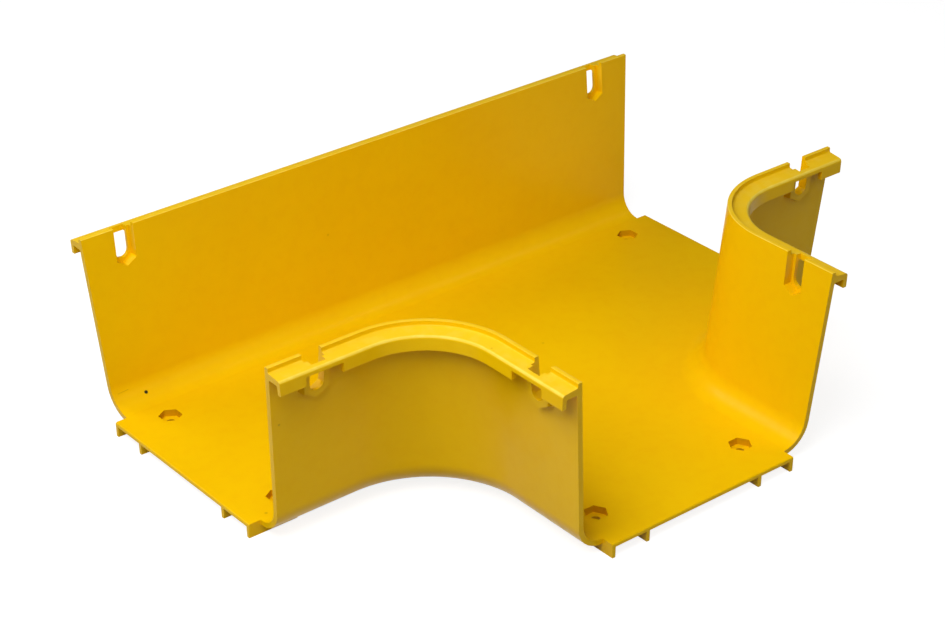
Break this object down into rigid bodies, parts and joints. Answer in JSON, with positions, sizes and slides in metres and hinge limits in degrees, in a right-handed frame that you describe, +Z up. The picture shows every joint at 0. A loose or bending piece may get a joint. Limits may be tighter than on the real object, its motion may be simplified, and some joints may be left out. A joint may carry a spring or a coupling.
{
  "type": "fibre raceway tee",
  "caption": "Horizontal tee for fibre raceway: open trough with a straight run and a side branch, curved corner walls, a flanged rim and bolt pockets at each end.",
  "frame": {"origin": "middle of the bounding box's footprint, at the level of the ribs' feet that the fitting stands on", "axes": "+X along the straight run, -Y the way the branch leaves, +Z up out of the open trough"},
  "size_m": [0.38, 0.2848, 0.1083],
  "materials": {
    "yellow_plastic": "semi-matte moulded"
  },
  "bodies": {
    "root": {"tee_fitting": "yellow_plastic"}
  },
  "joints": []
}
